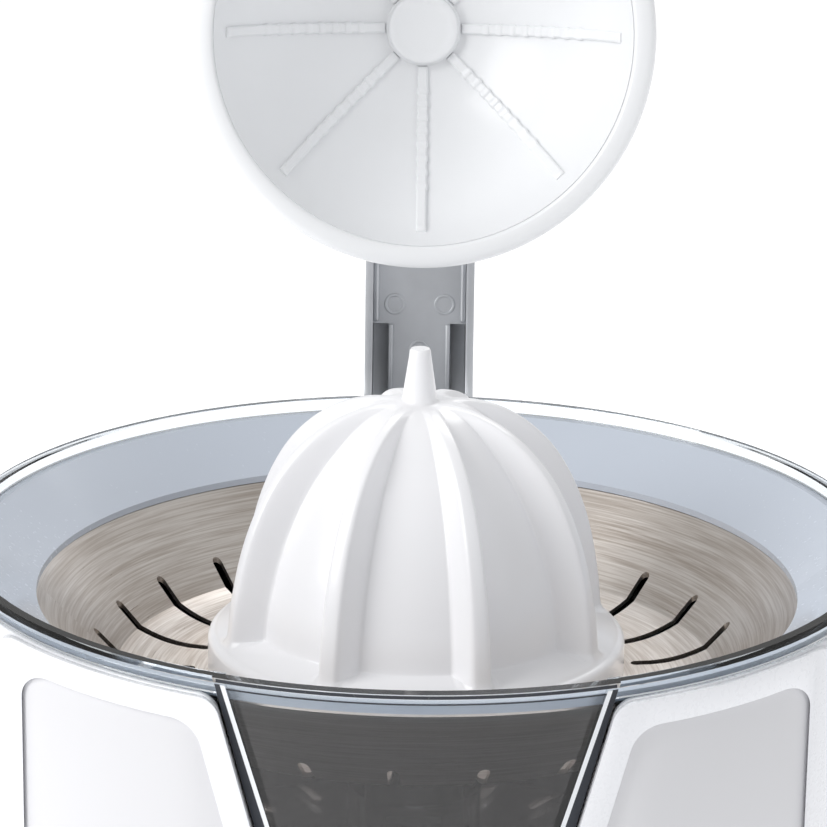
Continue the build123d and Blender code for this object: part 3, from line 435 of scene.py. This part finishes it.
def large_cone():
    """The ribbed cone: wedge ridges between round lobes, its ring, the pin and the hollow below."""
    crest = smooth_through(CREST_LINE, STEPS_BETWEEN_POINTS)
    valley = smooth_through(VALLEY_LINE, STEPS_BETWEEN_POINTS)
    rows = []
    for (crest_r, crest_h), (valley_r, valley_h) in zip(crest, valley):
        row = []
        size = RIDGE_TAPER + (1 - RIDGE_TAPER) * valley_r / WIDEST_VALLEY
        for k in range(CONE_COLUMNS):
            turn = 2 * pi * k / CONE_COLUMNS
            off = (turn - FIRST_RIDGE + RIDGE_PITCH / 2) % RIDGE_PITCH - RIDGE_PITCH / 2
            side = abs(sin(off)) * 0.5 * (crest_r + valley_r)
            flank = (RIDGE_HALF * size - side) / (RIDGE_FLANK * size)
            share = eased_floor(1 - eased_floor(1 - flank, 0.02), 0.006)
            radius = valley_r + share * (crest_r - valley_r)
            height = valley_h + share * (crest_h - valley_h)
            row.append(Vector((radius * cos(turn), radius * sin(turn), height)))
        rows.append(row)
    below = [(40.6, -8.5), (42.4, -8.5), (42.9, -8.1), (43.0, -7.5), (43.0, -1.2), (42.85, -0.6),
             (42.4, -0.15), (41.9, 0.05), (41.3, 0.35), (40.95, 1.0)]
    hollow = [(0.0, 25.5), (10.0, 25.5), (18.0, 25.5), (23.0, 17.0), (25.0, 11.5), (27.0, -8.5),
              (29.5, -8.5), (29.6, -1.0), (40.4, -2.4)]
    under = [ring_of(r, h, CONE_COLUMNS) for r, h in hollow + below]
    pin_tip = (PIN_TIP_Z - RING_Z) / MM
    pin = [(3.8, 49.6), (3.5, 50.3), (3.2, 52.5), (2.75, 55.5), (2.3, 58.6), (2.12, pin_tip - 0.4),
           (1.9, pin_tip), (0.0, pin_tip)]
    bm = grid_of(under + rows + [ring_of(r, h, CONE_COLUMNS) for r, h in pin])
    piece_from(
        carried(bm, Matrix.Translation((0, 0, RING_Z))), "cone", "large_cone", smooth_angle=50.0
    )


large_cone()


# ---------------------------------------------------------------- press cup
# In the cup's frame the rim lies at height 0 and the hollow opens downwards.
CUP_RADIUS, CUP_DEPTH, CUP_WALL = 51.0, 42.0, 2.8
CUP_SPHERE = (CUP_RADIUS**2 + CUP_DEPTH**2) / (2 * CUP_DEPTH)
CUP_CENTRE = CUP_DEPTH - CUP_SPHERE
HUB_RADIUS = 8.9


def sphere_line(radius, first, last, count):
    """Points of a sphere round the cup's centre, between two angles from its axis in radians."""
    angles = np.linspace(first, last, count)
    return [(radius * sin(a), CUP_CENTRE + radius * cos(a)) for a in angles]


def cup_dome():
    """The domed cup with its rolled rim and the boss in its middle."""
    outer_sphere = CUP_SPHERE + CUP_WALL
    inside = sphere_line(CUP_SPHERE, 0.19, 1.365, 40)
    outside = sphere_line(outer_sphere, 1.285, 0.03, 40)
    boss = [(0.0, 39.5), (8.6, 39.5), (9.2, 39.7), (9.4, 40.2), (9.45, 40.9)]
    lip = [(51.0, 0.9), (51.3, 0.35), (51.9, 0.08), (53.0, 0.0), (54.6, 0.12), (55.6, 0.5),
           (56.25, 1.2), (56.5, 2.3), (56.4, 3.5), (55.9, 4.4), (55.1, 4.95), (54.0, 5.0),
           (53.1, 5.1)]
    rows = [ring_of(r, z, 180) for r, z in boss + inside + lip + outside]
    rows.append([Vector((0, 0, CUP_CENTRE + outer_sphere))])
    piece_from(carried(grid_of(rows), CUP), "cup_dome", "press_cup", smooth_angle=60.0)


def cup_hub():
    """The round cap that holds the cup to its boss: a soft edge and a shallow dished face."""
    line = [(0.0, 37.95), (5.0, 37.95), (6.2, 37.9), (6.8, 37.7), (7.4, 37.6), (8.1, 37.62),
            (8.6, 37.8), (8.85, 38.2), (HUB_RADIUS, 38.8), (HUB_RADIUS, 39.4), (0.0, 39.4)]
    rows = [ring_of(r, z, 96) for r, z in line]
    piece_from(carried(grid_of(rows), CUP), "cup_hub", "cup_cap", smooth_angle=60.0)


RIBS = 8
RIB_STARTS, RIB_ENDS = 9.5, 48.5  # distances from the cup's axis, in mm
TEETH_START, TEETH_END, TOOTH_PITCH = 15.2, 40.8, 3.3
FIRST_TOOTH = 16.0
RIB_SECTIONS = 236
RIB_FOOT = 0.4  # how far a rib is let into the dome


def toothed_rib():
    """One rib of the cup, along +X: a low bar with cross teeth over its middle stretch."""
    sections = []
    for reach in np.linspace(RIB_STARTS + 0.1, RIB_ENDS - 0.1, RIB_SECTIONS):
        angle = np.arcsin(reach / CUP_SPHERE)
        out = Vector((sin(angle), 0, cos(angle)))
        foot = Vector((0, 0, CUP_CENTRE)) + CUP_SPHERE * out
        toothed = TEETH_START < reach < TEETH_END
        wave = cos(2 * pi * (reach - FIRST_TOOTH) / TOOTH_PITCH)
        share = max(0.0, wave) ** 0.5 if toothed else 0.0
        ends = min(1.0, (reach - RIB_STARTS) / 0.5, (RIB_ENDS - reach) / 0.5)
        height = float((1.05 + 0.2 * share) * ends**0.5)
        half = float(1.25 + 0.25 * share)
        sections.append(
            [
                foot + RIB_FOOT * out + Vector((0, -half, 0)),
                foot - height * 0.7 * out + Vector((0, -half, 0)),
                foot - height * out + Vector((0, -half + 0.4, 0)),
                foot - height * out + Vector((0, half - 0.4, 0)),
                foot - height * 0.7 * out + Vector((0, half, 0)),
                foot + RIB_FOOT * out + Vector((0, half, 0)),
            ]
        )
    return skinned(sections)


def turned_copies(bm, name, count, matrix):
    """Repeat a part round its own Z axis with a Geometry Nodes tree, then carry it to its place."""
    mesh = bpy.data.meshes.new(name)
    bmesh.ops.recalc_face_normals(bm, faces=bm.faces)
    bm.to_mesh(mesh)
    bm.free()
    worker = bpy.data.objects.new(name, mesh)
    bpy.context.scene.collection.objects.link(worker)
    tree = bpy.data.node_groups.new(f"{name}_round", "GeometryNodeTree")
    tree.interface.new_socket("Geometry", in_out="INPUT", socket_type="NodeSocketGeometry")
    copies = tree.interface.new_socket("Copies", in_out="INPUT", socket_type="NodeSocketInt")
    copies.default_value = count
    tree.interface.new_socket("Geometry", in_out="OUTPUT", socket_type="NodeSocketGeometry")
    node = tree.nodes.new
    given, made = node("NodeGroupInput"), node("NodeGroupOutput")
    points = node("GeometryNodeMeshLine")
    points.inputs["Offset"].default_value = (0, 0, 0)
    place = node("GeometryNodeInstanceOnPoints")
    index = node("GeometryNodeInputIndex")
    step, turn = node("ShaderNodeMath"), node("ShaderNodeMath")
    step.operation, turn.operation = "DIVIDE", "MULTIPLY"
    turn.inputs[1].default_value = 2 * pi
    angles, real = node("ShaderNodeCombineXYZ"), node("GeometryNodeRealizeInstances")
    for first, last in (
        (given.outputs["Copies"], points.inputs["Count"]),
        (points.outputs["Mesh"], place.inputs["Points"]),
        (given.outputs["Geometry"], place.inputs["Instance"]),
        (index.outputs["Index"], step.inputs[0]),
        (given.outputs["Copies"], step.inputs[1]),
        (step.outputs[0], turn.inputs[0]),
        (turn.outputs[0], angles.inputs["Z"]),
        (angles.outputs[0], place.inputs["Rotation"]),
        (place.outputs["Instances"], real.inputs["Geometry"]),
        (real.outputs["Geometry"], made.inputs["Geometry"]),
    ):
        tree.links.new(first, last)
    worker.modifiers.new("round", "NODES").node_group = tree
    done = bpy.data.meshes.new_from_object(
        worker.evaluated_get(bpy.context.evaluated_depsgraph_get())
    )
    bpy.data.objects.remove(worker)
    done.transform(matrix @ Matrix.Scale(MM, 4))
    return done


cup_dome()
cup_hub()
own_mesh(turned_copies(toothed_rib(), "cup_rib_set", RIBS, CUP), "cup_rib_set", "cup_ribs")


# ---------------------------------------------------------------- arm's channel
def block(low, high, edge=0.35):
    """A box between two corners, with its edges eased, in mm."""
    bm = bmesh.new()
    size = [b - a for a, b in zip(low, high)]
    middle = [(a + b) / 2 for a, b in zip(low, high)]
    place = Matrix.Translation(middle) @ Matrix.Diagonal((*size, 1))
    bmesh.ops.create_cube(bm, size=1.0, matrix=place)
    bmesh.ops.bevel(
        bm,
        geom=bm.edges[:],
        offset=edge,
        segments=3,
        profile=0.5,
        affect="EDGES",
        clamp_overlap=True,
    )
    return bm


def raised_ring(x, y, top, radius, line):
    """A low rounded ring round a point of a face that looks down, its face at height top."""
    bm = bmesh.new()
    count, around = 48, 8
    rings = []
    for k in range(count):
        turn = 2 * pi * k / count
        row = []
        for m in range(around):
            lean = 2 * pi * m / around
            r = radius - line / 2 + line / 2 * cos(lean)
            row.append(bm.verts.new((x + r * cos(turn), y + r * sin(turn), top + 0.3 * sin(lean))))
        rings.append(row)
    for k in range(count):
        for m in range(around):
            after, beside = (k + 1) % count, (m + 1) % around
            bm.faces.new((rings[k][m], rings[after][m], rings[after][beside], rings[k][beside]))
    return bm


LINER_LOW, CHANNEL_HALF, POCKET_Y, TONGUE_HALF = 94.0, 12.0, -33.0, 8.0
CHANNEL_END_Y, TONGUE_END_Y = -127.5, -14.4
BEAD_WIDTH, TONGUE_BEAD_WIDTH = 1.5, 1.2
LET_IN = 0.2  # how far each bead is let into the floor plate
RING_X, PIN_MARK_RADIUS, PIN_MARK_LINE = 6.45, 2.75, 0.8
details = []
for side in (-1, 1):
    x_near, x_far = sorted((side * (CHANNEL_HALF - BEAD_WIDTH), side * CHANNEL_HALF))
    low = (x_near, CHANNEL_END_Y, LINER_LOW - 2.2)
    details.append(block(low, (x_far, POCKET_Y - 0.6, LINER_LOW + LET_IN), 0.6))
    x_near, x_far = sorted((side * (TONGUE_HALF - TONGUE_BEAD_WIDTH), side * TONGUE_HALF))
    low = (x_near, POCKET_Y + 0.2, LINER_LOW - 1.0)
    details.append(block(low, (x_far, TONGUE_END_Y, LINER_LOW + LET_IN)))
for x, y in ((-RING_X, POCKET_Y - 5.0), (RING_X, POCKET_Y - 5.0), (0.0, POCKET_Y + 7.0)):
    details.append(raised_ring(x, y, LINER_LOW, PIN_MARK_RADIUS, PIN_MARK_LINE))
piece_from(carried(joined(details), ARM), "channel_details", "arm_liner", replaces=False)


# ---------------------------------------------------------------- window edges: painted highlight and painted shade strips
def on_head(x, radius, z):
    """A point on a cylinder round the spin axis, at the front, in mm."""
    return Vector((x * MM, -sqrt(radius**2 - x**2) * MM, RIM_Z + z * MM))


def side_strip(side, near, far, radius, thick):
    """A thin strip down one side of the window; near and far give its edges at each depth."""
    sections = []
    for depth in np.linspace(-1.2, -70.0, 40):
        first, last = side * near(depth), side * far(depth)
        sections.append(
            [
                on_head(first, radius - thick, depth),
                on_head(first, radius, depth),
                on_head(last, radius, depth),
                on_head(last, radius - thick, depth),
            ]
        )
    return skinned(sections)


def front_strip(half, high, low, radius, thick):
    """A thin strip across the window between two depths below the rim."""
    sections = []
    for x in np.linspace(-half, half, 60):
        sections.append(
            [
                on_head(x, radius - thick, low),
                on_head(x, radius, low),
                on_head(x, radius, high),
                on_head(x, radius - thick, high),
            ]
        )
    return skinned(sections)


def window_edge(depth):
    """Half width of the window, which narrows downwards."""
    return 37.2 + 0.28 * depth


def highlight_edge(depth):
    """Outer edge of the painted highlight strip, which draws away from the window's edge, then runs beside it."""
    return 36.2 + 0.315 * depth if depth > -40.0 else window_edge(depth) - 2.4


def painted_strip(bm, name, slot):
    """A strip of painted light and shade on the juice bowl, in a slot of its own."""
    trim = piece_from(bm, name, "juice_bowl", replaces=False)
    trim.data.materials[0] = FINISHES[slot]


STRIP_THICK = 0.3
HIGHLIGHT_LINE = 0.9
HIGHLIGHT_OUT, EDGE_SHADE_OUT, TOP_LINE_OUT, LOWER_LINE_OUT = 95.2, 95.1, 95.0, 95.05
for side in (-1, 1):
    name = "left" if side < 0 else "right"
    # painted highlight: a pale strip down each side where the window's clear edge catches the light
    highlight_strip = side_strip(side, lambda d: highlight_edge(d) - HIGHLIGHT_LINE, highlight_edge, HIGHLIGHT_OUT, STRIP_THICK)
    painted_strip(highlight_strip, f"window_highlight_strip_{name}", "spout_plastic")
    # painted shade: a dark strip beside the highlight, where the window's clear edge is seen edge-on and looks
    # dark
    edge_shade = side_strip(side, highlight_edge, window_edge, EDGE_SHADE_OUT, STRIP_THICK)
    painted_strip(edge_shade, f"window_edge_shade_{name}", "dark_plastic")
# painted shade: two dark lines across the window's top, where the clear rim's edges look dark
lines = [
    front_strip(36.6, -0.25, -0.85, TOP_LINE_OUT, STRIP_THICK),
    front_strip(35.8, -1.75, -2.0, LOWER_LINE_OUT, STRIP_THICK),
]
painted_strip(joined(lines), "window_top_lines", "dark_plastic")

# ---------------------------------------------------------------- eased copies of the CAD's shells
for node_name in (
    "head_shell", "cheek_band_left", "cheek_band_right", "cheek_panel_left", "cheek_panel_right",
    "column_shell", "hinge_tower", "column_hatch", "base_cover", "arm_shell", "arm_grip",
    "hinge_bracket", "drip_stop_spout", "drip_tray",
):
    refined(node_name)

# ---------------------------------------------------------------- stage
floor_mesh = bpy.data.meshes.new("floor")
FLOOR_REACH = 6.0
floor_mesh.from_pydata(
    [(x * FLOOR_REACH, y * FLOOR_REACH, 0) for x, y in ((-1, -1), (1, -1), (1, 1), (-1, 1))],
    [],
    [(0, 1, 2, 3)],
)
floor = bpy.data.objects.new("floor", floor_mesh)
bpy.context.scene.collection.objects.link(floor)
floor_finish = Finish("floor_paint", (0.93, 0.93, 0.94), 0.7)
floor_finish.feed(
    "Base Color",
    floor_finish.blend(floor_finish.noise(3.0, 2.0), (0.92, 0.92, 0.93), (0.95, 0.95, 0.955)),
)
floor_finish.shader.inputs["Emission Color"].default_value = (1.0, 1.0, 1.0, 1.0)
floor_finish.shader.inputs["Emission Strength"].default_value = 0.4
floor_mesh.materials.append(floor_finish.material)


def softbox(name, place, aim, width, height, power, tint=(1.0, 1.0, 1.0)):
    """A rectangular soft light aimed at a point."""
    light = bpy.data.lights.new(name, "AREA")
    light.shape = "RECTANGLE"
    light.size = width
    light.size_y = height
    light.energy = power
    light.color = tint
    lamp = bpy.data.objects.new(name, light)
    lamp.location = place
    direction = Vector(aim) - Vector(place)
    lamp.rotation_euler = direction.to_track_quat("-Z", "Y").to_euler()
    bpy.context.scene.collection.objects.link(lamp)


AIM = (0, 0, 0.25)
softbox("key", (-1.3, -0.7, 1.1), AIM, 1.1, 1.3, 20)
softbox("fill", (1.2, -0.9, 1.0), AIM, 1.2, 1.2, 3.5, (0.93, 0.96, 1.0))
softbox("back", (0.3, 1.2, 1.5), AIM, 1.2, 0.8, 9)

world = bpy.data.worlds.new("studio")
world.use_nodes = True
world.node_tree.nodes["Background"].inputs["Color"].default_value = (1.0, 1.0, 1.0, 1.0)
world.node_tree.nodes["Background"].inputs["Strength"].default_value = 0.52
bpy.context.scene.world = world
bpy.context.scene.view_settings.view_transform = "Standard"

camera_data = bpy.data.cameras.new("camera")
camera_data.lens = 161.4
camera_data.sensor_width = 36.0
camera_data.clip_start = 0.01
camera = bpy.data.objects.new("camera", camera_data)
camera.location = (-0.0012, -0.72, RIM_Z + 0.243)
DOWN_TILT, ROLL = radians(16.9), radians(0.79)
camera.rotation_euler = (
    Matrix.Rotation(pi / 2 - DOWN_TILT, 4, "X") @ Matrix.Rotation(ROLL, 4, "Z")
).to_euler()
bpy.context.scene.collection.objects.link(camera)
bpy.context.scene.camera = camera
